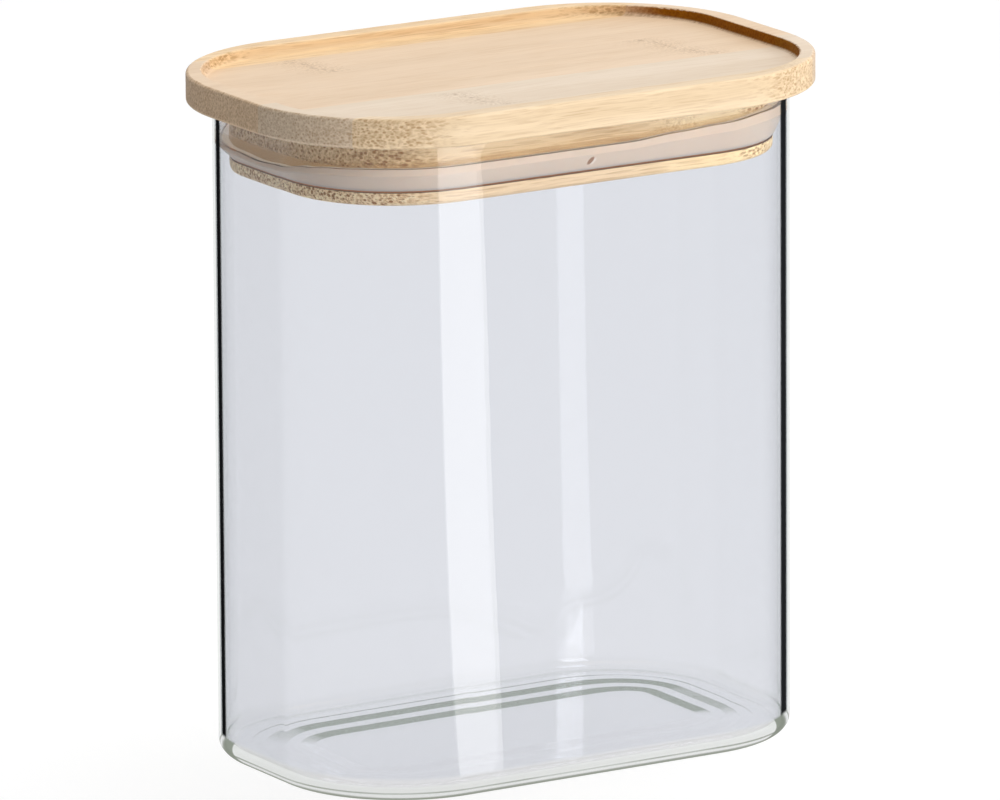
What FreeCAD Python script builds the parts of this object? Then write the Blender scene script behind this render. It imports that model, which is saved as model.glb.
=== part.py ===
import FreeCAD, Part
import math, os

# Rectangular storage canister: a mould-blown glass jar, a laminated bamboo lid
# that drops into its mouth, and a silicone lip seal in a groove round the lid's
# plug. The lid's top is milled into a shallow tray that takes the base of
# another canister.
#
# Millimetres. Origin: centre of the jar's base. +X runs along the jar's length,
# +Y across it (-Y is a long face), +Z up.

os.makedirs("parts", exist_ok=True)
V = FreeCAD.Vector

# ---- glass jar ----
JAR_LEN = 142.2          # outside length, X
JAR_WID = 90.2           # outside width, Y
JAR_CORNER_R = 34.1      # outside vertical corner radius
WALL = 1.8               # glass wall
RIM_Z = 165.45           # top of the fire-polished rim
FLOOR_T = 3.0            # floor thickness
HEEL_R = 4.0             # outside round between wall and base
HEEL_IN_R = 2.8          # inside round between wall and floor
RIM_R = 0.82             # fire-polished rim round
PUNT_STEPS = [           # the base is pushed up in two shallow steps:
    (14.0, 18.8, 0.20),  # foot and top of the slope, in from the long faces, and rise
    (22.6, 27.6, 0.22)]
PUNT_END = 0.8           # the steps come this much nearer the end faces

# ---- lid board ----
LID_LEN = 155.0
LID_WID = 103.0
LID_CORNER_R = 40.5
BOARD_Z0 = 165.6         # underside, which rests over the rim
BOARD_Z1 = 173.2         # top of the raised rim round the tray
BOARD_EDGE_R = 0.9       # softened outer edges
TRAY_RIM_W = 5.6         # width of the raised rim along the straight sides
TRAY_CORNER_R = 30.6     # corner radius of the tray's mouth
TRAY_DEPTH = 2.7
TRAY_FOOT_R = 1.3        # round left by the milling cutter at the tray's foot
TRAY_LIP_R = 0.45        # broken inner edge of the raised rim

# ---- plug under the board ----
PLUG_HALF_X = 66.9
PLUG_HALF_Y = 40.9
PLUG_CORNER_R = 29.9
PLUG_Z0 = 149.3
PLUG_FOOT_R = 1.5        # rounded lower edge, which leads the lid into the jar
GROOVE_Z0 = 152.7        # seal groove
GROOVE_Z1 = 158.9
GROOVE_DEPTH = 2.6
PLY_Z = 157.4            # glue line between the plug's two plies

# ---- bamboo strips ----
BOARD_JOINTS = [-39.0, -13.0, 13.0, 39.0]   # glue lines of the board, Y
PLUG_JOINTS = [-26.0, 0.0, 26.0]            # the plug's are staggered by half a strip

# ---- silicone seal ----
LIP_TIP_GAP = 0.05       # the lip to the inside of the glass
LIP_Z = 160.8            # top edge of the lip
LIP_T = 0.55             # lip thickness at its root
CREVICE = 0.35           # gap left between the wedge and the plug's lower flange


def outline(hx, hy, r, z):
    """Closed wire of a rectangle with rounded corners, centred on the Z axis."""
    a, b = hx - r, hy - r
    k = math.sqrt(0.5) * r
    e = []
    e.append(Part.makeLine(V(-a, -hy, z), V(a, -hy, z)))
    e.append(Part.Arc(V(a, -hy, z), V(a + k, -b - k, z), V(hx, -b, z)).toShape())
    e.append(Part.makeLine(V(hx, -b, z), V(hx, b, z)))
    e.append(Part.Arc(V(hx, b, z), V(a + k, b + k, z), V(a, hy, z)).toShape())
    e.append(Part.makeLine(V(a, hy, z), V(-a, hy, z)))
    e.append(Part.Arc(V(-a, hy, z), V(-a - k, b + k, z), V(-hx, b, z)).toShape())
    e.append(Part.makeLine(V(-hx, b, z), V(-hx, -b, z)))
    e.append(Part.Arc(V(-hx, -b, z), V(-a - k, -b - k, z), V(-a, -hy, z)).toShape())
    return Part.Wire(e)


def block(hx, hy, r, z0, z1):
    """Upright rounded block between two heights."""
    return Part.Face(outline(hx, hy, r, z0)).extrude(V(0, 0, z1 - z0))


def loop_edges(shape, z, hx=None, tol=1e-4):
    """Edges lying wholly at one height; with hx, only those of the loop that wide."""
    found = []
    for e in shape.Edges:
        b = e.BoundBox
        if abs(b.ZMin - z) < tol and abs(b.ZMax - z) < tol:
            found.append(e)
    if hx is None:
        return found
    loops = Part.sortEdges(found)
    for lp in loops:
        w = Part.Wire(lp)
        if abs(w.BoundBox.XMax - hx) < 1e-2:
            return lp
    raise ValueError("no loop at z=%g of half length %g" % (z, hx))


def fillet_loop(shape, r, z, hx=None):
    return shape.makeFillet(r, loop_edges(shape, z, hx))


def ring_profile(points, hx, hy, r):
    """Solid ring: a closed profile of (offset out from the outline, height)
    pairs carried round a rounded rectangle. Straight sides are extrusions and
    corners are turned parts, so every face is exact."""
    a, b = hx - r, hy - r
    # profile drawn in the XZ plane at the right-hand side's near end
    def face_at(origin, out):
        pts = [origin + out * o + V(0, 0, z) for o, z in points]
        return Part.Face(Part.makePolygon(pts + [pts[0]]))
    solids = []
    sides = [
        (V(-a, -hy, 0), V(0, -1, 0), V(2 * a, 0, 0)),
        (V(hx, -b, 0), V(1, 0, 0), V(0, 2 * b, 0)),
        (V(a, hy, 0), V(0, 1, 0), V(-2 * a, 0, 0)),
        (V(-hx, b, 0), V(-1, 0, 0), V(0, -2 * b, 0)),
    ]
    for origin, out, run in sides:
        solids.append(face_at(origin, out).extrude(run))
    corners = [
        (V(a, -b, 0), V(a, -hy, 0), V(0, -1, 0)),
        (V(a, b, 0), V(hx, b, 0), V(1, 0, 0)),
        (V(-a, b, 0), V(-a, hy, 0), V(0, 1, 0)),
        (V(-a, -b, 0), V(-hx, -b, 0), V(-1, 0, 0)),
    ]
    for centre, origin, out in corners:
        solids.append(face_at(origin, out).revolve(centre, V(0, 0, 1), 90))
    whole = solids[0].multiFuse(solids[1:]).removeSplitter()
    return whole


def one_solid(shape):
    s = shape.Solids
    if len(s) != 1:
        raise ValueError("expected one solid, got %d" % len(s))
    return s[0]


def save(shape, name):
    s = one_solid(shape)
    if not s.isValid():
        raise ValueError(name + " is not valid")
    s.exportStep("parts/" + name + ".step")
    b = s.BoundBox
    print("%-22s %9.1f mm3  x %.1f..%.1f  y %.1f..%.1f  z %.2f..%.2f" % (
        name, s.Volume, b.XMin, b.XMax, b.YMin, b.YMax, b.ZMin, b.ZMax))


# ---- glass jar: one piece, even wall, thicker floor with a low push-up ----
hx, hy = JAR_LEN / 2, JAR_WID / 2
outer = fillet_loop(block(hx, hy, JAR_CORNER_R, 0, RIM_Z), HEEL_R, 0)
cavity = fillet_loop(
    block(hx - WALL, hy - WALL, JAR_CORNER_R - WALL, FLOOR_T, RIM_Z + 10),
    HEEL_IN_R, FLOOR_T)
jar = outer.cut(cavity)
def step_outline(u, z):
    ux = HEEL_R + (u - HEEL_R) * PUNT_END
    return outline(hx - ux, hy - u, JAR_CORNER_R - u, z)


z = 0.0
for u0, u1, rise in PUNT_STEPS:
    jar = jar.cut(Part.makeLoft([step_outline(u0, z), step_outline(u1, z + rise)], True, True))
    z += rise
jar = fillet_loop(jar, RIM_R, RIM_Z)
save(jar, "glass_jar")

# ---- lid board: five bamboo strips edge-glued, then shaped as one ----
bx, by = LID_LEN / 2, LID_WID / 2
board = block(bx, by, LID_CORNER_R, BOARD_Z0, BOARD_Z1)
board = fillet_loop(board, BOARD_EDGE_R, BOARD_Z0)
board = fillet_loop(board, BOARD_EDGE_R, BOARD_Z1)
tray = block(bx - TRAY_RIM_W, by - TRAY_RIM_W, TRAY_CORNER_R,
             BOARD_Z1 - TRAY_DEPTH, BOARD_Z1 + 5)
tray = fillet_loop(tray, TRAY_FOOT_R, BOARD_Z1 - TRAY_DEPTH)
board = board.cut(tray)
board = fillet_loop(board, TRAY_LIP_R, BOARD_Z1, bx - TRAY_RIM_W)

edges = [-by - 5] + BOARD_JOINTS + [by + 5]
names = ["board_strip_1_front", "board_strip_2", "board_strip_3_middle",
         "board_strip_4", "board_strip_5_back"]
for name, y0, y1 in zip(names, edges[:-1], edges[1:]):
    cutter = Part.makeBox(LID_LEN + 20, y1 - y0, 30, V(-bx - 10, y0, BOARD_Z0 - 10))
    save(board.common(cutter), name)

# ---- plug: two plies of strips, glued under the board, grooved for the seal ----
plug = fillet_loop(block(PLUG_HALF_X, PLUG_HALF_Y, PLUG_CORNER_R, PLUG_Z0, BOARD_Z0),
                   PLUG_FOOT_R, PLUG_Z0)
groove = block(PLUG_HALF_X + 5, PLUG_HALF_Y + 5, PLUG_CORNER_R + 5, GROOVE_Z0, GROOVE_Z1).cut(
    block(PLUG_HALF_X - GROOVE_DEPTH, PLUG_HALF_Y - GROOVE_DEPTH,
          PLUG_CORNER_R - GROOVE_DEPTH, GROOVE_Z0 - 1, GROOVE_Z1 + 1))
plug = plug.cut(groove)
edges = [-PLUG_HALF_Y - 5] + PLUG_JOINTS + [PLUG_HALF_Y + 5]
ends = ["1_front", "2", "3", "4_back"]
for ply, z0, z1 in [("plug_upper_strip_", PLY_Z, BOARD_Z0), ("plug_lower_strip_", PLUG_Z0, PLY_Z)]:
    for end, y0, y1 in zip(ends, edges[:-1], edges[1:]):
        cutter = Part.makeBox(LID_LEN, y1 - y0, z1 - z0, V(-LID_LEN / 2, y0, z0))
        save(plug.common(cutter), ply + end)

# ---- silicone seal: a band filling the groove, a solid wedge from the plug out
# to the glass, and a thin lip that stands up against the glass above it ----
reach = (JAR_LEN / 2 - WALL - LIP_TIP_GAP) - PLUG_HALF_X
g = GROOVE_DEPTH
profile = [
    (-g, GROOVE_Z0), (-0.45, GROOVE_Z0), (-0.35, GROOVE_Z0 + CREVICE),
    (0.10, GROOVE_Z0 + CREVICE + 0.12), (0.75, GROOVE_Z0 + 1.15), (1.35, GROOVE_Z0 + 2.15),
    (1.90, GROOVE_Z0 + 3.2), (reach - 0.08, GROOVE_Z0 + 4.2),
    (reach, GROOVE_Z0 + 4.8), (reach, LIP_Z - 0.2), (reach - 0.13, LIP_Z),
    (reach - 0.32, LIP_Z - 0.12), (reach - LIP_T, GROOVE_Z1 + 0.7),
    (reach - LIP_T - 0.35, GROOVE_Z1 + 0.15), (0.9, GROOVE_Z1), (-g, GROOVE_Z1),
]
seal = ring_profile(profile, PLUG_HALF_X, PLUG_HALF_Y, PLUG_CORNER_R)
save(seal, "silicone_seal")
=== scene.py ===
import bpy, math
from mathutils import Vector, Matrix


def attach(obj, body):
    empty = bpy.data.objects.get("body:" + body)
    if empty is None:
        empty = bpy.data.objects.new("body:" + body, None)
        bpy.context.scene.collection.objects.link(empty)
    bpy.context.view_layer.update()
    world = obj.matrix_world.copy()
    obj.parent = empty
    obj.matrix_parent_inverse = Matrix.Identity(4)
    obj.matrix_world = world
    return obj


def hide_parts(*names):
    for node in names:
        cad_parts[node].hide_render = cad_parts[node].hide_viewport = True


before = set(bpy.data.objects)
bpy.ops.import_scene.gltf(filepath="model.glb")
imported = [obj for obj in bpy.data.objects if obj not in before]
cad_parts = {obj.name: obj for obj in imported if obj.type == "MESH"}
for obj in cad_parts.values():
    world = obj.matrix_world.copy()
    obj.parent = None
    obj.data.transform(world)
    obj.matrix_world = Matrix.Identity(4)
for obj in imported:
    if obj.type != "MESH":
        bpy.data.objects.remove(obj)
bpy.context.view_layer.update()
MM = 0.001
scene = bpy.context.scene
scene.view_settings.view_transform = "Standard"
scene.view_settings.look = "None"


# ------------------------------------------------------------------ helpers
def put(name, verts, faces, body, smooth=True):
    me = bpy.data.meshes.new(name)
    me.from_pydata([(x * MM, y * MM, z * MM) for x, y, z in verts], [], faces)
    me.validate()
    me.update()
    ob = bpy.data.objects.new(name, me)
    scene.collection.objects.link(ob)
    if smooth:
        me.shade_smooth()
    if body:
        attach(ob, body)
    return ob


def outline(hx, hy, r, n_arc, n_x, n_y):
    """Points and outward normals round a rounded rectangle, anticlockwise."""
    a, b = hx - r, hy - r
    pts = []
    def line(p, q, nrm, n):
        for i in range(n):
            t = i / n
            pts.append((p[0] + (q[0] - p[0]) * t, p[1] + (q[1] - p[1]) * t, nrm[0], nrm[1]))
    def arc(cx, cy, a0, n):
        for i in range(n):
            t = math.radians(a0 + 90.0 * i / n)
            pts.append((cx + r * math.cos(t), cy + r * math.sin(t), math.cos(t), math.sin(t)))
    line((-a, -hy), (a, -hy), (0, -1), n_x)
    arc(a, -b, -90, n_arc)
    line((hx, -b), (hx, b), (1, 0), n_y)
    arc(a, b, 0, n_arc)
    line((a, hy), (-a, hy), (0, 1), n_x)
    arc(-a, b, 90, n_arc)
    line((-hx, b), (-hx, -b), (-1, 0), n_y)
    arc(-a, -b, 180, n_arc)
    return pts


def arc_pts(cu, cz, r, a0, a1, n):
    """Profile points on an arc; angles in degrees, 0 along +u."""
    return [(cu + r * math.cos(math.radians(a0 + (a1 - a0) * i / n)),
             cz + r * math.sin(math.radians(a0 + (a1 - a0) * i / n))) for i in range(n + 1)]


def bridge(rings, count, closed_profile=False):
    faces = []
    k = len(rings)
    for i in range(k - 1 if not closed_profile else k):
        a, b = rings[i], rings[(i + 1) % k]
        for j in range(count):
            j2 = (j + 1) % count
            faces.append((a + j, a + j2, b + j2, b + j))
    return faces


# ------------------------------------------------------------------ materials
class Tree:
    def __init__(self, name):
        self.mat = bpy.data.materials.new(name)
        self.mat.use_nodes = True
        self.nt = self.mat.node_tree
        self.nt.nodes.clear()
    def n(self, kind, **kw):
        node = self.nt.nodes.new(kind)
        for k, v in kw.items():
            if k.startswith("i_"):
                node.inputs[k[2:].replace("_", " ")].default_value = v
            else:
                setattr(node, k, v)
        return node
    def link(self, a, b):
        self.nt.links.new(a, b)
    def val(self, v):
        return v
    def _set(self, sock, v):
        if hasattr(v, "is_output") or hasattr(v, "links"):
            self.link(v, sock)
        else:
            sock.default_value = v
    def math(self, op, a, b=0.0, c=0.0, clamp=False):
        m = self.nt.nodes.new("ShaderNodeMath")
        m.operation = op
        m.use_clamp = clamp
        for s, v in zip(m.inputs, (a, b, c)):
            self._set(s, v)
        return m.outputs[0]
    def vmath(self, op, a, b=(0, 0, 0)):
        m = self.nt.nodes.new("ShaderNodeVectorMath")
        m.operation = op
        self._set(m.inputs[0], a)
        if op == "SCALE":
            self._set(m.inputs["Scale"], b)
        else:
            self._set(m.inputs[1], b)
        return m.outputs[0]
    def combine(self, x, y, z):
        m = self.nt.nodes.new("ShaderNodeCombineXYZ")
        for s, v in zip(m.inputs, (x, y, z)):
            self._set(s, v)
        return m.outputs[0]
    def separate(self, v):
        m = self.nt.nodes.new("ShaderNodeSeparateXYZ")
        self._set(m.inputs[0], v)
        return m.outputs
    def noise(self, vec, scale=1.0, detail=2.0, rough=0.5, dist=0.0):
        m = self.nt.nodes.new("ShaderNodeTexNoise")
        m.inputs["Scale"].default_value = scale
        m.inputs["Detail"].default_value = detail
        m.inputs["Roughness"].default_value = rough
        m.inputs["Distortion"].default_value = dist
        self.link(vec, m.inputs["Vector"])
        return m.outputs["Fac"]
    def voronoi(self, vec, rand=1.0, feature="F1", out="Distance"):
        m = self.nt.nodes.new("ShaderNodeTexVoronoi")
        m.feature = feature
        m.inputs["Scale"].default_value = 1.0
        m.inputs["Randomness"].default_value = rand
        self.link(vec, m.inputs["Vector"])
        return m.outputs[out]
    def ramp(self, fac, lo, hi, a=0.0, b=1.0, smooth=True):
        m = self.nt.nodes.new("ShaderNodeMapRange")
        m.interpolation_type = "SMOOTHSTEP" if smooth else "LINEAR"
        self._set(m.inputs["Value"], fac)
        for k, v in (("From Min", lo), ("From Max", hi), ("To Min", a), ("To Max", b)):
            self._set(m.inputs[k], v)
        return m.outputs["Result"]
    def mix(self, fac, a, b, blend="MIX"):
        m = self.nt.nodes.new("ShaderNodeMix")
        m.data_type = "RGBA"
        m.blend_type = blend
        m.clamp_factor = True
        self._set(m.inputs[0], fac)
        for s, v in ((m.inputs[6], a), (m.inputs[7], b)):
            if isinstance(v, tuple):
                v = tuple(v) + (1.0,) * (4 - len(v))
            self._set(s, v)
        return m.outputs[2]


def srgb(r, g, b):
    def f(c):
        c /= 255.0
        return c / 12.92 if c <= 0.04045 else ((c + 0.055) / 1.055) ** 2.4
    return (f(r), f(g), f(b))


def bamboo(name, seed, base, fibre, knuckles=(), dots=1.0, streak=1.0, rough=0.42, end=(0.90, 0.87, 0.82),
           cell=0.72, bands=1.0, lit_arris_z=None, crevice_shade_z=None, painted_far_wall_shade=0.0, right=(1, 1, 1), left=(1, 1, 1)):
    """Solid bamboo: fibre bundles along X that show as dashes along the grain
    and as dots on the ends, soft bands of tone, and knuckles (nodes)."""
    t = Tree(name)
    tc = t.n("ShaderNodeTexCoord")
    p = t.vmath("SCALE", tc.outputs["Object"], 1000.0)
    x, y, z = t.separate(p)
    sx, sy, sz = seed
    M = lambda a, b: t.math("MULTIPLY", a, b)
    A = lambda a, b: t.math("ADD", a, b)
    # drift of the fibres along the culm
    drift_v = t.combine(M(x, 1 / 38.0), M(y, 1 / 14.0), A(M(z, 1 / 14.0), sx))
    d1 = t.math("SUBTRACT", t.noise(drift_v, 1.0, 1.0), 0.5)
    drift_w = t.vmath("ADD", drift_v, (17.3, 4.1, 9.7))
    d2 = t.math("SUBTRACT", t.noise(drift_w, 1.0, 1.0), 0.5)
    near = 0.0
    line = 0.0
    lift = 0.0
    for (kx, y0, y1, amp) in knuckles:
        inside = M(t.ramp(y, y0 - 0.6, y0 + 0.6), t.ramp(y, y1 - 0.6, y1 + 0.6, 1.0, 0.0))
        wob_v = t.combine(M(y, 0.16), 3.7 + kx, sy)
        wob = M(t.math("SUBTRACT", t.noise(wob_v, 1.0, 2.0), 0.5), 9.0)
        skew = M(t.math("SUBTRACT", y, (y0 + y1) / 2), -0.32)
        dx = t.math("SUBTRACT", x, A(A(wob, kx), skew))
        bell = t.math("POWER", 2.718, M(M(dx, dx), -1 / 20.0))
        bell = M(M(bell, inside), amp)
        near = A(near, bell)
        thin = t.math("POWER", 2.718, M(M(dx, dx), -1 / 0.30))
        brk = t.ramp(t.noise(t.combine(M(y, 0.75), kx, 2.0), 1.0, 2.0), 0.45, 0.62)
        line = A(line, M(M(M(thin, inside), brk), amp))
        side = M(t.ramp(dx, 0.0, 7.0), t.ramp(dx, 7.0, 16.0, 1.0, 0.0))
        lift = A(lift, M(M(side, inside), amp))
    # extra waviness of the fibres at a knuckle
    wav_v = t.combine(M(x, 0.42), M(y, 0.22), A(M(z, 0.22), sz))
    wav = t.math("SUBTRACT", t.noise(wav_v, 1.0, 2.0), 0.5)
    push = A(M(d1, 2.4), M(M(wav, near), 3.4))
    push2 = A(M(d2, 2.4), M(M(wav, near), 2.2))
    yw = A(A(y, push), sy)
    zw = A(A(z, push2), sz)
    # end grain: faces that cut across the fibres
    nx = t.separate(tc.outputs["Normal"])[0]
    cut = t.ramp(t.math("ABSOLUTE", nx), 0.10, 0.46)
    # fibre bundles
    xs = M(x, A(0.085, M(near, 0.30)))
    bund = t.voronoi(t.combine(xs, M(yw, 1 / cell), M(zw, 1 / cell)))
    size_v = t.combine(M(x, 0.02), M(yw, 0.12), M(zw, 0.3))
    size = t.ramp(t.noise(size_v, 1.0, 1.0), 0.3, 0.7, 0.27, 0.40)
    dash = t.ramp(t.math("SUBTRACT", bund, size), -0.09, 0.09, 1.0, 0.0)
    # fine threads between them, and the pith's speckle on the ends
    thr = t.noise(t.combine(M(x, 0.055), M(yw, 3.2), M(zw, 3.2)), 1.0, 3.0, 0.6)
    thr2 = t.noise(t.combine(M(x, 0.02), M(yw, 0.9), M(zw, 0.9)), 1.0, 2.0, 0.5)
    speck = t.noise(t.combine(M(x, 0.4), M(yw, 2.6), M(zw, 2.6)), 1.0, 1.0, 0.5)
    stip = t.noise(t.vmath("SCALE", t.combine(M(x, 0.8), yw, zw), 1.5), 1.0, 2.0, 0.55)
    # broad bands
    band = t.noise(t.combine(A(M(x, 0.008), sx), M(yw, 0.14), M(zw, 0.22)), 1.0, 2.0, 0.5)
    base = tuple(base)
    fibre = tuple(fibre)
    pale = tuple(min(1.0, c * 1.06) for c in base)
    deep = tuple(c * k for c, k in zip(base, (0.93, 0.885, 0.82)))
    col = t.mix(M(t.ramp(band, 0.30, 0.70), bands), pale, deep)
    col = t.mix(M(t.ramp(thr2, 0.35, 0.75), 0.35 * bands), col, deep)
    col = t.mix(M(t.ramp(thr, 0.48, 0.80), 0.34 * streak), col, fibre)
    col = t.mix(M(t.ramp(thr, 0.50, 0.25), 0.30 * streak), col, tuple(min(1.0, c * 1.10) for c in base))
    endc = tuple(end) + (1.0,)
    col = t.mix(cut, col, t.mix(1.0, col, endc, "MULTIPLY"))
    fine = t.voronoi(t.combine(M(x, 0.12), A(M(yw, 1.55), 3.3), M(zw, 1.35)))
    grit = t.ramp(fine, 0.20, 0.46, 1.0, 0.0)
    col = t.mix(M(M(grit, cut), 0.55 * dots), col, t.mix(0.5, fibre, deep))
    col = t.mix(M(M(t.ramp(fine, 0.48, 0.72), cut), 0.50 * dots), col, tuple(min(1.0, c * 1.16) for c in base))
    col = t.mix(M(M(t.ramp(speck, 0.52, 0.70), cut), 0.34 * dots), col, fibre)
    amt = A(M(cut, 0.42 * dots), A(0.13 * streak, M(near, 0.16)))
    col = t.mix(M(dash, amt), col, fibre)
    col = t.mix(M(lift, 0.16), col, tuple(min(1.0, c * 1.08) for c in base))
    col = t.mix(M(M(t.ramp(stip, 0.47, 0.60), near), 0.85), col, tuple(c * k for c, k in zip(base, (0.80, 0.74, 0.66))))
    col = t.mix(M(M(t.ramp(stip, 0.46, 0.34), near), 0.65), col, tuple(min(1.0, c * 1.12) for c in base))
    col = t.mix(M(line, 0.60), col, tuple(c * 0.86 for c in fibre))
    if painted_far_wall_shade:
        # painted shade: the tray's far inner wall, which lies in shade, is darkened to a deep brown and its specular
        # level lowered
        inside = M(M(t.ramp(nx, -0.48, -0.86), t.ramp(x, 40.0, 50.0)), t.ramp(z, 170.0, 170.6))
        painted_far_wall_tint = t.mix(1.0, col, (0.43, 0.205, 0.015), "MULTIPLY")
        col = t.mix(M(inside, painted_far_wall_shade), col, painted_far_wall_tint)
        gloss = t.ramp(inside, 0.0, 1.0, 0.5, 0.06)
    # painted light: the colour is multiplied up toward the right end (right) and the far left end (left), standing in
    # for light the board's overhang and the dim left side keep off them
    for painted_light_gain, x0, x1 in ((right, 5.0, 38.0), (left, -57.0, -67.0)):
        if painted_light_gain != (1, 1, 1):
            col = t.mix(t.ramp(x, x0, x1), col, t.mix(1.0, col, painted_light_gain, "MULTIPLY"))
    if crevice_shade_z is not None:
        # painted shade: the flange's top beside the seal darkened to brown, for the crevice's shadow
        col = t.mix(t.ramp(z, crevice_shade_z - 0.14, crevice_shade_z - 0.04), col, srgb(104, 72, 46))
    if lit_arris_z is not None:
        # painted highlight: the board's lower outside edge made paler, where it catches light
        nz = t.separate(tc.outputs["Normal"])[2]
        pale_edge_highlight = M(t.ramp(z, lit_arris_z - 0.15, lit_arris_z + 0.15, 1.0, 0.0), t.ramp(nz, -0.80, -0.35))
        col = t.mix(M(pale_edge_highlight, 0.5), col, tuple(min(1.0, c * 1.22) for c in base))
    bs = t.n("ShaderNodeBsdfPrincipled")
    t.link(col, bs.inputs["Base Color"])
    if painted_far_wall_shade:
        t.link(gloss, bs.inputs["Specular IOR Level"])
    rg = A(rough, A(M(dash, 0.12), A(M(t.math("SUBTRACT", thr, 0.5), 0.14), M(cut, 0.16))))
    t.link(rg, bs.inputs["Roughness"])
    bs.inputs["IOR"].default_value = 1.46
    height = A(M(dash, -0.6), A(M(thr, 0.7), A(M(line, 1.2), M(M(stip, near), 1.6))))
    bump = t.n("ShaderNodeBump", i_Strength=0.35, i_Distance=0.00004)
    t.link(height, bump.inputs["Height"])
    t.link(bump.outputs["Normal"], bs.inputs["Normal"])
    out = t.n("ShaderNodeOutputMaterial")
    t.link(bs.outputs[0], out.inputs["Surface"])
    return t.mat


def paint(node, mat):
    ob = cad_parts[node]
    if not ob.material_slots:
        ob.data.materials.append(mat)
    for s in ob.material_slots:
        s.link = "OBJECT"
        s.material = mat


# ------------------------------------------------------------------ glass
def glass_material():
    t = Tree("blown_glass")
    tc = t.n("ShaderNodeTexCoord")
    p = t.vmath("SCALE", tc.outputs["Object"], 1000.0)
    wave = t.noise(t.vmath("MULTIPLY", p, (0.022, 0.022, 0.010)), 1.0, 1.0, 0.4)
    seed = t.noise(t.vmath("SCALE", p, 0.11), 1.0, 2.0, 0.5)
    h = t.math("ADD", t.math("MULTIPLY", wave, 1.0), t.math("MULTIPLY", seed, 0.05))
    bump = t.n("ShaderNodeBump", i_Strength=0.6, i_Distance=0.00008)
    t.link(h, bump.inputs["Height"])
    bs = t.n("ShaderNodeBsdfPrincipled")
    bs.inputs["Base Color"].default_value = GLASS_TINT + (1,)
    bs.inputs["Roughness"].default_value = 0.0
    bs.inputs["IOR"].default_value = 1.473
    bs.inputs["Transmission Weight"].default_value = 1.0
    t.link(bump.outputs["Normal"], bs.inputs["Normal"])
    lp = t.n("ShaderNodeLightPath")
    # painted shade: a near-black line painted inside a glass edge on camera rays, where the wall turns the view
    # outward, and a faint darkening towards the silhouette
    lw = t.n("ShaderNodeLayerWeight", i_Blend=0.5)
    f = lw.outputs["Facing"]
    nx, ny, nz = t.separate(tc.outputs["Normal"])
    # how far the wall turns from the view seen in plan, whatever the height
    # it is seen from: the wall bends light sideways, not up and down
    lz = t.n("ShaderNodeLayerWeight", i_Blend=0.5)
    t.link(t.combine(0.0, 0.0, 1.0), lz.inputs["Normal"])
    up_part = t.math("SUBTRACT", 1.0, lz.outputs["Facing"])
    flat = t.math("MAXIMUM", t.math("SUBTRACT", 1.0, t.math("MULTIPLY", up_part, up_part)), 0.02)
    flat = t.math("POWER", flat, -0.5)
    face = f
    f = t.math("SUBTRACT", 1.0, t.math("MULTIPLY", t.math("MULTIPLY", t.math("SUBTRACT", 1.0, face), 0.9725), flat))
    wide = t.ramp(nx, 0.3, 0.7, 0.0, 0.035)
    edge = t.math("MULTIPLY", t.ramp(t.math("ADD", f, wide), 0.655, 0.700), t.ramp(f, 0.762, 0.795, 1.0, 0.0))
    # only a curved wall does this: the flat walls stay clear
    for flat_n in (nx, ny):
        edge = t.math("MULTIPLY", edge, t.ramp(t.math("ABSOLUTE", flat_n), 0.9995, 0.9880))
    nz = t.math("ABSOLUTE", nz)
    edge = t.math("MULTIPLY", edge, t.ramp(nz, 0.35, 0.75, 1.0, 0.0))
    edge = t.math("MAXIMUM", edge, t.ramp(f, 0.42, 0.62, 0.0, 0.10))
    edge = t.math("MULTIPLY", edge, lp.outputs["Is Camera Ray"])
    rim_band = t.math("MULTIPLY", t.ramp(f, 0.795, 0.825), t.ramp(nz, 0.30, 0.60, 1.0, 0.0))
    rim_band = t.math("MULTIPLY", rim_band, 0.90)
    pz = t.separate(p)[2]
    rim_band = t.math("MAXIMUM", rim_band, t.ramp(pz, 5.5, 6.7, 0.88, 0.0))
    rim_band = t.math("MULTIPLY", rim_band, lp.outputs["Is Camera Ray"])
    dark = t.n("ShaderNodeBsdfDiffuse")
    dark.inputs["Color"].default_value = (0.012, 0.013, 0.014, 1)
    # painted light: past two glossy bounces the glass glows a dim grey green, standing in for light thrown to and fro
    # inside the base
    painted_trapped_glow = t.n("ShaderNodeEmission")
    painted_trapped_glow.inputs["Color"].default_value = (0.31, 0.35, 0.28, 1)
    mt = t.n("ShaderNodeMixShader")
    t.link(t.math("GREATER_THAN", lp.outputs["Glossy Depth"], 2.5), mt.inputs[0])
    t.link(bs.outputs[0], mt.inputs[1])
    t.link(painted_trapped_glow.outputs[0], mt.inputs[2])
    me = t.n("ShaderNodeMixShader")
    t.link(edge, me.inputs[0])
    t.link(mt.outputs[0], me.inputs[1])
    t.link(dark.outputs[0], me.inputs[2])
    tr = t.n("ShaderNodeBsdfTransparent")
    t.link(t.mix(t.ramp(pz, 5.5, 6.7), (0.972, 0.966, 0.975), (0.985, 0.985, 0.985)), tr.inputs["Color"])
    fac = t.math("MAXIMUM", t.math("MAXIMUM", lp.outputs["Is Shadow Ray"], lp.outputs["Is Diffuse Ray"]), rim_band)
    mx = t.n("ShaderNodeMixShader")
    t.link(fac, mx.inputs[0])
    t.link(me.outputs[0], mx.inputs[1])
    t.link(tr.outputs[0], mx.inputs[2])
    vol = t.n("ShaderNodeVolumeAbsorption")
    vol.inputs["Color"].default_value = (0.30, 0.66, 0.38, 1)
    vol.inputs["Density"].default_value = 4.0
    out = t.n("ShaderNodeOutputMaterial")
    # painted refraction: a dim grey-green glowing line on the heel's own outline, on camera rays
    painted_heel_lines = t.math("MULTIPLY", t.ramp(face, 0.42, 0.60), t.ramp(pz, 1.2, 1.8, 0.92, 0.0))
    painted_heel_lines = t.math("MULTIPLY", painted_heel_lines, t.ramp(nz, 0.45, 0.80, 0.12, 1.0))
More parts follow.
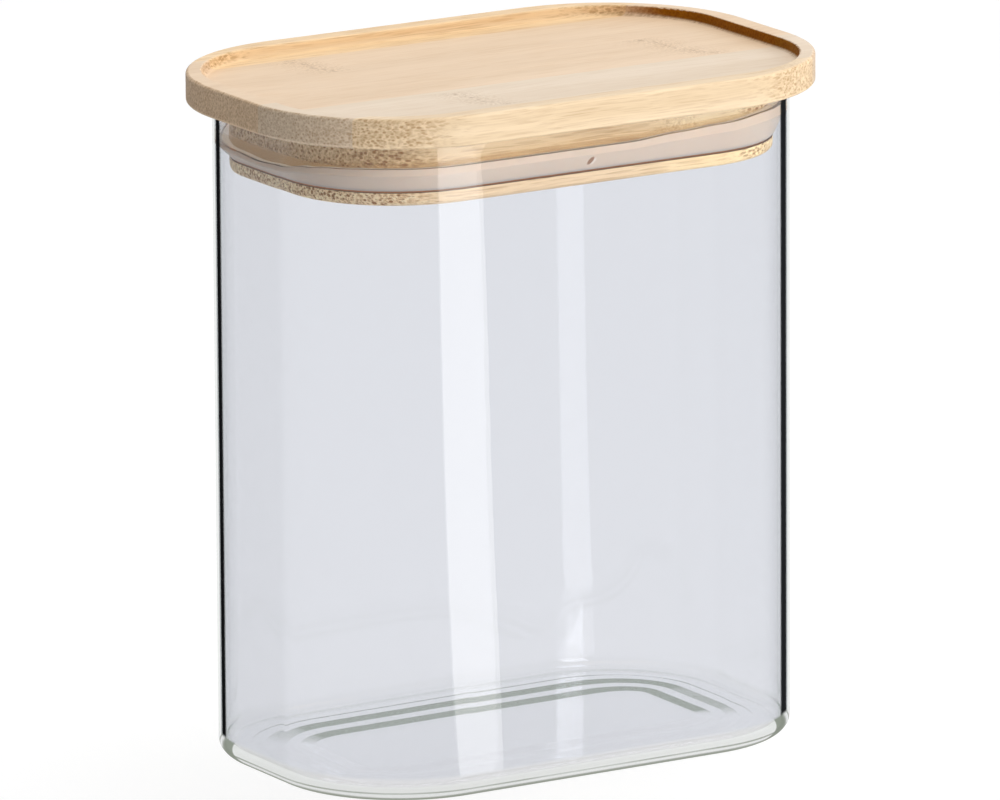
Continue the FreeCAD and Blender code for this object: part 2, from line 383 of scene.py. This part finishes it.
    # and a painted line above it, where the heel turns the floor out of sight
    painted_second_line = t.ramp(t.math("ABSOLUTE", t.math("SUBTRACT", pz, 2.45)), 0.12, 0.32, 1.0, 0.0)
    thick = t.ramp(t.noise(t.vmath("MULTIPLY", p, (0.03, 0.03, 0.0)), 1.0, 2.0, 0.5), 0.35, 0.65, 0.40, 0.85)
    outer = t.math("MULTIPLY", t.ramp(face, 0.10, 0.20), t.ramp(nz, 0.10, 0.20))
    painted_heel_lines = t.math("MAXIMUM", painted_heel_lines, t.math("MULTIPLY", t.math("MULTIPLY", painted_second_line, thick), outer))
    painted_heel_lines = t.math("MULTIPLY", painted_heel_lines, t.ramp(nz, 0.980, 0.995, 1.0, 0.0))
    painted_heel_lines = t.math("MULTIPLY", painted_heel_lines, lp.outputs["Is Camera Ray"])
    line = t.n("ShaderNodeEmission")
    line.inputs["Color"].default_value = (0.26, 0.285, 0.235, 1)
    mh = t.n("ShaderNodeMixShader")
    t.link(painted_heel_lines, mh.inputs[0])
    t.link(mx.outputs[0], mh.inputs[1])
    t.link(line.outputs[0], mh.inputs[2])
    t.link(mh.outputs[0], out.inputs["Surface"])
    t.link(vol.outputs[0], out.inputs["Volume"])
    return t.mat


GLASS_TINT = (0.862, 0.868, 0.896)
JAR = dict(hx=71.1, hy=45.1, r=34.1, wall=1.8, rim=165.45, floor=3.0, heel=4.0, heel_in=2.8,
           rim_r=0.82)
# underside of the base: (in from the outside, height)
PUNT = [(4.0, 0.0), (9.8, 0.0), (10.4, 0.03), (14.0, 0.03), (18.8, 0.23), (22.6, 0.23), (27.6, 0.45), (32.0, 0.45)]


def build_jar():
    j = JAR
    N_ARC, N_X, N_Y = 60, 26, 10
    base = outline(j["hx"], j["hy"], j["r"], N_ARC, N_X, N_Y)
    n = len(base)
    def under(u):
        for (u0, z0), (u1, z1) in zip(PUNT[:-1], PUNT[1:]):
            if u <= u1:
                t = (u - u0) / (u1 - u0)
                return z0 + (z1 - z0) * t
        return PUNT[-1][1]
    verts, rings = [], []
    def ring(u, z):
        rings.append(len(verts))
        verts.extend([(x - nx * u, y - ny * u, z) for x, y, nx, ny in base])
    def near_ends(u):
        return 4.0 + (u - 4.0) * 0.80
    def base_ring(u, z):
        rings.append(len(verts))
        verts.extend([(x - nx * near_ends(u), y - ny * u, z) for x, y, nx, ny in base])
    def inner_ring(u, f, z):
        rings.append(len(verts))
        for x, y, nx, ny in base:
            verts.append(((x - nx * near_ends(u)) * f, (y - ny * u) * f, z))
    # underside, from the middle out
    fs = [(i + 1) / 6 for i in range(6)]
    for f in fs:
        inner_ring(32.0, f, under(32.0))
    for i in range(1, 112):
        u = 32.0 - 28.0 * i / 112
        base_ring(u, under(u))
    for u, z in arc_pts(j["heel"], j["heel"], j["heel"], 270, 180, 20):
        ring(u, z)
    for i in range(1, 60):
        z = j["heel"] + (j["rim"] - j["rim_r"] - j["heel"]) * i / 60
        ring(0.0, z)
    rr = j["rim_r"]
    for u, z in arc_pts(rr, j["rim"] - rr, rr, 180, 90, 9):
        ring(u, z)
    for u, z in arc_pts(j["wall"] - rr, j["rim"] - rr, rr, 90, 0, 9):
        ring(u, z)
    top_in = j["floor"] + j["heel_in"]
    for i in range(1, 60):
        z = (j["rim"] - rr) + (top_in - (j["rim"] - rr)) * i / 60
        ring(j["wall"], z)
    for u, z in arc_pts(j["wall"] + j["heel_in"], top_in, j["heel_in"], 180, 270, 20):
        ring(u, z)
    u_in = j["wall"] + j["heel_in"]
    for i in range(1, 12):
        t = i / 11
        rings.append(len(verts))
        for x, y, nx, ny in base:
            verts.append((x - nx * (u_in + (near_ends(32.0) - u_in) * t), y - ny * (u_in + (32.0 - u_in) * t), j["floor"]))
    for f in reversed(fs[:-1]):
        inner_ring(32.0, f, j["floor"])
    faces = bridge(rings, n)
    c0 = len(verts); verts.append((0, 0, under(32.0)))
    c1 = len(verts); verts.append((0, 0, j["floor"]))
    r0, r1 = rings[0], rings[-1]
    for k in range(n):
        k2 = (k + 1) % n
        faces.append((c0, r0 + k2, r0 + k))
        faces.append((c1, r1 + k, r1 + k2))
    ob = put("jar_glass", verts, faces, "jar")
    return ob


jar = build_jar()
jar.data.materials.append(glass_material())
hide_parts("glass_jar")


# ------------------------------------------------------------------ silicone seal
def silicone_material(name, front, dull, rough, clear=0.0, painted_glow=0.0, glow_colour=(1.0, 0.97, 0.93)):
    """Translucent silicone; with clear, a thin lip that shows what is behind."""
    t = Tree(name)
    tc = t.n("ShaderNodeTexCoord")
    p = t.vmath("SCALE", tc.outputs["Object"], 1000.0)
    x, y, z = t.separate(p)
    cloud = t.noise(t.vmath("MULTIPLY", p, (0.05, 0.05, 0.25)), 1.0, 2.0, 0.5)
    fine = t.noise(t.vmath("SCALE", p, 3.0), 1.0, 3.0, 0.6)
    col = t.mix(t.ramp(cloud, 0.3, 0.7), front, tuple(c * 0.96 for c in front))
    if not clear:
        # greyer towards its foot
        col = t.mix(t.ramp(z, 153.0, 154.5, 1.0, 0.0), col, dull)
        # painted shade: the foot's lowest band turns dark brown, for the crevice's shadow
        col = t.mix(t.ramp(z, 153.02, 153.22, 1.0, 0.0), col, srgb(104, 72, 46))
        # gate mark left by the mould on the front
        dx = t.math("ADD", x, 1.1)
        dz = t.math("SUBTRACT", z, 155.8)
        u = t.math("ADD", dx, t.math("MULTIPLY", dz, -0.55))
        v = t.math("ADD", dz, t.math("MULTIPLY", dx, 0.30))
        q = t.math("ADD", t.math("MULTIPLY", t.math("MULTIPLY", u, u), 1.3), t.math("MULTIPLY", t.math("MULTIPLY", v, v), 0.55))
        q = t.math("ADD", q, t.ramp(y, -35.0, -30.0, 0.0, 50.0))
        gate = t.ramp(t.math("ADD", q, t.math("MULTIPLY", fine, 0.3)), 0.55, 1.25, 1.0, 0.0)
        u2 = t.math("SUBTRACT", u, 1.05)
        q2 = t.math("ADD", t.math("MULTIPLY", t.math("MULTIPLY", u2, u2), 2.6), t.math("MULTIPLY", t.math("MULTIPLY", v, v), 0.7))
        q2 = t.math("ADD", q2, t.ramp(y, -35.0, -30.0, 0.0, 50.0))
        col = t.mix(t.math("MULTIPLY", t.ramp(q2, 0.4, 1.1, 1.0, 0.0), 0.5), col, (0.95, 0.90, 0.84))
        col = t.mix(t.math("MULTIPLY", gate, 0.90), col, srgb(150, 104, 72))
    bs = t.n("ShaderNodeBsdfPrincipled")
    t.link(col, bs.inputs["Base Color"])
    if not clear:
        bs.inputs["Subsurface Weight"].default_value = 0.45
        bs.inputs["Subsurface Radius"].default_value = (1.0, 0.78, 0.60)
        bs.inputs["Subsurface Scale"].default_value = 0.0012
    # painted light: the seal band glows, though it is no lamp
    if painted_glow:
        bs.inputs["Emission Color"].default_value = glow_colour + (1,)
        bs.inputs["Emission Strength"].default_value = painted_glow
    # painted light: that lowest band also glows a dull brown, so the painted crevice shade is not black
    if not clear and not painted_glow:
        bs.inputs["Emission Color"].default_value = srgb(120, 80, 50) + (1,)
        t.link(t.ramp(z, 153.02, 153.22, 1.5, 0.0), bs.inputs["Emission Strength"])
    bs.inputs["IOR"].default_value = 1.41
    t.link(t.ramp(fine, 0.3, 0.7, rough - 0.07, rough + 0.07), bs.inputs["Roughness"])
    bump = t.n("ShaderNodeBump", i_Strength=0.2, i_Distance=0.00003)
    t.link(fine, bump.inputs["Height"])
    t.link(bump.outputs["Normal"], bs.inputs["Normal"])
    out = t.n("ShaderNodeOutputMaterial")
    if clear:
        tr = t.n("ShaderNodeBsdfTransparent")
        tr.inputs["Color"].default_value = (0.96, 0.93, 0.88, 1)
        mx = t.n("ShaderNodeMixShader")
        mx.inputs[0].default_value = clear
        t.link(bs.outputs[0], mx.inputs[1])
        t.link(tr.outputs[0], mx.inputs[2])
        t.link(mx.outputs[0], out.inputs["Surface"])
    else:
        t.link(bs.outputs[0], out.inputs["Surface"])
    return t.mat


# how the pressed-in seal lies round the plug: distance round the plug's
# outline from the front face's left end, top of the wedge, top of the lip
LIE = [(0, 159.1, 160.7), (47, 159.15, 161), (61, 160, 161.8), (74, 160.6, 162.4), (87, 161.5, 163),
       (98, 161.8, 163.1), (121, 160.6, 162), (143, 159.3, 160.9), (190, 158.9, 160.8), (264, 158.9, 160.8),
       (287, 157.9, 160.4), (300, 157.2, 160.1), (311, 156.6, 159.9), (322, 156.1, 159.9), (333, 156.7, 160),
       (341, 158, 160.2), (349, 158.7, 160.4), (357, 159, 160.6), (379.9, 159.1, 160.7)]


def lie(s):
    for (s0, a0, b0), (s1, a1, b1) in zip(LIE[:-1], LIE[1:]):
        if s <= s1:
            t = (s - s0) / (s1 - s0)
            t = t * t * (3 - 2 * t)
            return a0 + (a1 - a0) * t, b0 + (b1 - b0) * t
    return LIE[-1][1], LIE[-1][2]


def build_seal():
    hx, hy, r = 66.9, 40.9, 29.9
    z0, z1, g = 152.7, 158.9, 2.6
    reach = 71.1 - 1.8 + 0.03 - hx
    base = outline(hx, hy, r, 48, 60, 18)
    n = len(base)
    s, along = 0.0, []
    for k in range(n):
        along.append(s)
        q = base[(k + 1) % n]
        s += math.hypot(q[0] - base[k][0], q[1] - base[k][1])
    top, lip = zip(*[lie(a * 379.8 / s) for a in along])
    # (offset out from the plug, height: how far from the foot to the wedge's
    # top, or from the wedge's top to the lip's edge), material
    foot = z0 + 0.47
    key = [(-g, "a", z0, 0), (-1.2, "a", z0, 0), (-0.50, "a", z0 + 0.02, 0), (-0.42, "a", z0 + 0.20, 0), (-0.30, "a", z0 + 0.36, 0),
           (0.0, "a", z0 + 0.42, 0), (0.25, "w", 0.03, 0), (0.62, "w", 0.10, 0), (1.05, "w", 0.21, 0), (1.50, "w", 0.34, 0),
           (1.90, "w", 0.47, 0), (2.18, "w", 0.57, 0), (reach - 0.06, "w", 0.66, 0), (reach, "w", 0.76, 0),
           (reach, "w", 0.90, 0), (reach, "w", 1.0, 1), (reach, "l", 0.3, 1), (reach, "l", 0.8, 1),
           (reach - 0.05, "l", 0.94, 1), (reach - 0.15, "l", 1.0, 1), (reach - 0.28, "l", 0.94, 1),
           (reach - 0.36, "l", 0.6, 1), (reach - 0.46, "l", 0.2, 1), (reach - 0.62, "w", 1.02, 2),
           (1.35, "w", 0.985, 2), (0.6, "w", 0.975, 2), (0.12, "w", 0.985, 3), (-0.04, "g", 0.5, 3), (-0.5, "a", z1 - 0.02, 0), (-1.6, "a", z1, 0), (-g, "a", z1, 0)]
    verts, rings = [], []
    for o, kind, v, m in key:
        rings.append(len(verts))
        for k, (x, y, nx, ny) in enumerate(base):
            z = v
            if kind == "w":
                z = foot + (top[k] - foot) * v
            elif kind == "l":
                z = top[k] + (lip[k] - top[k]) * v
            elif kind == "g":
                z = z1 - 0.03
            verts.append((x + nx * o, y + ny * o, z))
    faces = bridge(rings, n, closed_profile=True)
    ob = put("seal_silicone", verts, faces, "lid")
    return ob, [m for o, kind, v, m in key for k in range(n)]


seal, seal_mats = build_seal()
FRONT = srgb(226, 207, 190)
seal.data.materials.append(silicone_material("silicone", FRONT, srgb(192, 186, 182), 0.42))
seal.data.materials.append(silicone_material("silicone_lip", srgb(225, 215, 200), FRONT, 0.30, clear=0.95))
# painted highlight: the seal's top edge made pale and given a faint glow, where it catches light along its edge
seal.data.materials.append(silicone_material("silicone_edge_painted_highlight", srgb(245, 238, 228), FRONT, 0.40, clear=0.0, painted_glow=0.22))
# painted light: the seal band over the groove takes the bamboo's colour and a warm glow, standing in for the groove
# wall behind it, which lies in shade
seal.data.materials.append(silicone_material("silicone_over_bamboo_painted_light", srgb(206, 172, 122), srgb(206, 172, 122), 0.42, painted_glow=0.14, glow_colour=(0.95, 0.66, 0.36)))
for poly, m in zip(seal.data.polygons, seal_mats):
    poly.material_index = m
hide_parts("silicone_seal")

# ------------------------------------------------------------------ bamboo
YEL = srgb(236, 213, 180)
WARM = srgb(228, 201, 170)
PALE = srgb(227, 208, 185)
FIB = srgb(172, 124, 72)
FIB2 = srgb(176, 134, 96)
RIM = 166.35
paint("board_strip_1_front", bamboo("bamboo_front", (1.3, 7.1, 3.3), YEL, FIB, [(58, -60, -39, 0.5)], lit_arris_z=RIM, painted_far_wall_shade=1.0))
paint("board_strip_2", bamboo("bamboo_2", (5.9, 2.4, 8.8), PALE, FIB2, [(-23, -34.5, -15.5, 0.9)], streak=0.45, bands=0.6, lit_arris_z=RIM, painted_far_wall_shade=1.0))
paint("board_strip_3_middle", bamboo("bamboo_3", (11.2, 9.4, 1.9), WARM, FIB2, [(51, -12.5, 13.5, 1.0)], streak=0.45, bands=0.6, lit_arris_z=RIM, painted_far_wall_shade=1.0))
paint("board_strip_4", bamboo("bamboo_4", (17.7, 4.4, 6.1), WARM, FIB2, [(-37, 20.5, 38.5, 1.0)], streak=0.45, bands=0.6, lit_arris_z=RIM, painted_far_wall_shade=1.0))
paint("board_strip_5_back", bamboo("bamboo_5", (23.1, 12.2, 4.4), srgb(240, 210, 168), FIB, [], streak=1.5, dots=0.9, cell=0.9, lit_arris_z=RIM, painted_far_wall_shade=1.0))
for i, nm in enumerate(["1_front", "2", "3", "4_back"]):
    paint("plug_upper_strip_" + nm, bamboo("bamboo_u%d" % i, (31.0 + 3 * i, 5.0 + i, 2.0 + 2 * i), srgb(238, 213, 172), srgb(150, 100, 50),
                                           [(12, -60, 60, 0.8)] if i == 0 else [], streak=1.8, dots=1.3, cell=0.95, bands=1.3, right=(1.16, 1.30, 1.50)))
    paint("plug_lower_strip_" + nm, bamboo("bamboo_l%d" % i, (47.0 + 3 * i, 8.0 + i, 3.0 + 2 * i), srgb(248, 220, 182), srgb(150, 98, 48),
                                           [], streak=1.6, dots=1.7, cell=0.92, bands=1.3, crevice_shade_z=152.7, end=(0.99, 0.97, 0.93), right=(1.24, 1.27, 1.17), left=(1.15, 1.18, 1.15)))

# ------------------------------------------------------------------ camera
AZ, EL, ROLL = map(math.radians, (-31.448, 13.469, -0.33))
back = Vector((math.sin(AZ) * math.cos(EL), -math.cos(AZ) * math.cos(EL), math.sin(EL)))
right = (-back).cross(Vector((0, 0, 1))).normalized()
up = right.cross(-back)
r2 = right * math.cos(ROLL) + up * math.sin(ROLL)
u2 = -right * math.sin(ROLL) + up * math.cos(ROLL)
aim = Vector((0, 0, 90.9 * MM)) - r2 * (0.788 * MM) - u2 * (4.034 * MM)
DIST = 3.3
cam_data = bpy.data.cameras.new("camera")
cam_data.sensor_width = 36.0
cam_data.lens = 4.026 * 3300 / 1000 * 36
cam_data.clip_end = 100.0
cam = bpy.data.objects.new("camera", cam_data)
scene.collection.objects.link(cam)
m = Matrix((r2, u2, back)).transposed().to_4x4()
m.translation = aim + back * DIST
cam.matrix_world = m
scene.camera = cam


# ------------------------------------------------------------------ stage
def stage_plane(name, pts, mat, camera=True, diffuse=True, glossy=True, transmission=True, shadow=True):
    me = bpy.data.meshes.new(name)
    me.from_pydata([tuple(p) for p in pts], [], [tuple(range(len(pts)))])
    me.update()
    ob = bpy.data.objects.new(name, me)
    scene.collection.objects.link(ob)
    me.materials.append(mat)
    ob.visible_camera = camera
    ob.visible_diffuse = diffuse
    ob.visible_glossy = glossy
    ob.visible_transmission = transmission
    ob.visible_shadow = shadow
    return ob


def emission(name, colour, strength):
    t = Tree(name)
    e = t.n("ShaderNodeEmission")
    e.inputs["Color"].default_value = tuple(colour) + (1.0,)
    e.inputs["Strength"].default_value = strength
    out = t.n("ShaderNodeOutputMaterial")
    t.link(e.outputs[0], out.inputs["Surface"])
    return t.mat


def reflected_only(name, colour, strength):
    """A lamp that shows only in reflections, never straight through the glass."""
    t = Tree(name)
    lp = t.n("ShaderNodeLightPath")
    e = t.n("ShaderNodeEmission")
    e.inputs["Color"].default_value = tuple(colour) + (1.0,)
    e.inputs["Strength"].default_value = strength
    tr = t.n("ShaderNodeBsdfTransparent")
    mx = t.n("ShaderNodeMixShader")
    t.link(t.math("GREATER_THAN", lp.outputs["Glossy Depth"], 0.5), mx.inputs[0])
    t.link(tr.outputs[0], mx.inputs[1])
    t.link(e.outputs[0], mx.inputs[2])
    out = t.n("ShaderNodeOutputMaterial")
    t.link(mx.outputs[0], out.inputs["Surface"])
    return t.mat


def floor_material():
    """Seamless white sweep: near white to the eye, with a faint contact shade,
    and a plain grey bounce on to the object."""
    t = Tree("studio_floor")
    lp = t.n("ShaderNodeLightPath")
    seen = t.math("MAXIMUM", lp.outputs["Is Camera Ray"], lp.outputs["Is Transmission Ray"])
    e = t.n("ShaderNodeEmission")
    e.inputs["Color"].default_value = (1.0, 1.0, 1.0, 1)
    # the sweep brightens into the backdrop far away, so no horizon shows
    px, py, pz = t.separate(t.n("ShaderNodeTexCoord").outputs["Object"])
    away = t.math("POWER", t.math("ADD", t.math("MULTIPLY", px, px), t.math("MULTIPLY", py, py)), 0.5)
    t.link(t.math("MULTIPLY", seen, t.ramp(away, 0.8, 3.5, FLOOR_GLOW, 0.98)), e.inputs["Strength"])
    d = t.n("ShaderNodeBsdfDiffuse")
    t.link(t.mix(seen, (FLOOR_BOUNCE,) * 3, (FLOOR_SHADE,) * 3), d.inputs["Color"])
    add = t.n("ShaderNodeAddShader")
    t.link(e.outputs[0], add.inputs[0])
    t.link(d.outputs[0], add.inputs[1])
    # the lamp panel reaches below the floor line: reflections see past the floor
    tr = t.n("ShaderNodeBsdfTransparent")
    past = t.math("MULTIPLY", t.math("GREATER_THAN", lp.outputs["Glossy Depth"], 0.5), lp.outputs["Is Transmission Ray"])
    mx = t.n("ShaderNodeMixShader")
    t.link(past, mx.inputs[0])
    t.link(add.outputs[0], mx.inputs[1])
    t.link(tr.outputs[0], mx.inputs[2])
    out = t.n("ShaderNodeOutputMaterial")
    t.link(mx.outputs[0], out.inputs["Surface"])
    return t.mat


FLOOR_GLOW, FLOOR_SHADE, FLOOR_BOUNCE = 0.86, 0.17, 0.75
R = 12.0
floor_pts = [(R * math.cos(i * math.pi / 32), R * math.sin(i * math.pi / 32), -0.0001) for i in range(64)]
floor = stage_plane("floor", floor_pts, floor_material(), glossy=False)

# the tall soft box whose edges show in the glass
strip = reflected_only("lamp_face", (1.0, 0.995, 0.985), 2.8)


def panel():
    """A tall lamp panel that leans back from the object."""
    rows = [((-3.0, -108.0, -62.0), (58.0, -184.0, -108.0)), ((-4.5, -125.0, -29.1), (80.0, -221.0, -59.1)), ((-6.8, -157.0, -15.1), (88.9, -236.8, -41.1)),
            ((-22.7, -373.0, 79.9), (146.6, -340.0, 75.9)), ((-27.9, -443.0, 110.9), (163.9, -371.0, 110.9))]
    verts, faces, n = [], [], 24
    for (l0, r0), (l1, r1) in zip(rows[:-1], rows[1:]):
        for k in range(n + 1):
            t = k / n
            verts.append(tuple((a + (b - a) * t) * MM for a, b in zip(l0, l1)))
            verts.append(tuple((a + (b - a) * t) * MM for a, b in zip(r0, r1)))
    for k in range(len(verts) // 2 - 1):
        faces.append((2 * k, 2 * k + 1, 2 * k + 3, 2 * k + 2))
    me = bpy.data.meshes.new("lamp_panel")
    me.from_pydata(verts, [], faces)
    me.update()
    ob = bpy.data.objects.new("lamp_panel", me)
    scene.collection.objects.link(ob)
    me.materials.append(strip)
    ob.visible_camera = False
    ob.visible_diffuse = False
    ob.visible_shadow = False


panel()
# its upper part, which only the rounded foot of the back wall reflects
stage_plane("lamp_top", [(-0.0279, -0.443, 0.111), (0.1639, -0.371, 0.111), (0.1639, -0.371, 0.60), (-0.0279, -0.443, 0.60)],
            reflected_only("lamp_face_top", (1.0, 0.995, 0.985), 8.0), camera=False, diffuse=False, glossy=False, shadow=False)


def area(name, loc, target, sx, sy, power, colour=(1, 1, 1), glossy=True):
    d = bpy.data.lights.new(name, "AREA")
    d.shape = "RECTANGLE"
    d.size, d.size_y = sx, sy
    d.energy = power
    d.color = colour
    o = bpy.data.objects.new(name, d)
    o.location = loc
    o.rotation_euler = (Vector(loc) - Vector(target)).to_track_quat("Z", "Y").to_euler()
    o.visible_glossy = glossy
    o.visible_transmission = False
    scene.collection.objects.link(o)
    return o


area("key", (0.46, -1.17, 0.32), (0, 0, 0.10), 0.9, 0.6, 11.2, (1.0, 1.0, 1.0), glossy=False)
area("top", (0.50, 0.20, 1.60), (0, 0, 0.1), 1.0, 1.0, 18.2, (1, 1, 1), glossy=False)

# world: soft room light, dimmer to the left, with a white backdrop at the
# horizon and a dark ceiling
w = bpy.data.worlds.new("room")
scene.world = w
w.use_nodes = True
nt = w.node_tree
nt.nodes.clear()
tw = Tree.__new__(Tree)
tw.mat, tw.nt = None, nt
tc = tw.n("ShaderNodeTexCoord")
gx, gy, gz = tw.separate(tc.outputs["Generated"])
lp = tw.n("ShaderNodeLightPath")
amb = tw.ramp(gx, -0.7, 0.9, 0.30, 0.42)
bg_amb = tw.n("ShaderNodeBackground")
bg_amb.inputs["Color"].default_value = (0.96, 0.98, 1.0, 1)
tw.link(amb, bg_amb.inputs["Strength"])
bg_cam = tw.n("ShaderNodeBackground")
bg_cam.inputs["Color"].default_value = (1.0, 1.0, 1.0, 1)
bg_cam.inputs["Strength"].default_value = 0.98
bg_tr = tw.n("ShaderNodeBackground")
tw.link(tw.mix(tw.ramp(gz, 0.28, 0.50), (0.95, 0.95, 0.96), (0.42, 0.43, 0.44)), bg_tr.inputs["Color"])
bg_gl = tw.n("ShaderNodeBackground")
gl = tw.mix(tw.ramp(gz, -0.08, 0.04), (0.24, 0.26, 0.31), (0.93, 0.94, 0.95))
gl = tw.mix(tw.ramp(gz, 0.40, 0.60), gl, (0.50, 0.51, 0.54))
tw.link(gl, bg_gl.inputs["Color"])
m1 = tw.n("ShaderNodeMixShader")
tw.link(lp.outputs["Is Glossy Ray"], m1.inputs[0])
tw.link(bg_amb.outputs[0], m1.inputs[1])
tw.link(bg_gl.outputs[0], m1.inputs[2])
m2 = tw.n("ShaderNodeMixShader")
tw.link(lp.outputs["Is Transmission Ray"], m2.inputs[0])
tw.link(m1.outputs[0], m2.inputs[1])
tw.link(bg_tr.outputs[0], m2.inputs[2])
m3 = tw.n("ShaderNodeMixShader")
tw.link(lp.outputs["Is Camera Ray"], m3.inputs[0])
tw.link(m2.outputs[0], m3.inputs[1])
tw.link(bg_cam.outputs[0], m3.inputs[2])
wo = tw.n("ShaderNodeOutputWorld")
tw.link(m3.outputs[0], wo.inputs["Surface"])
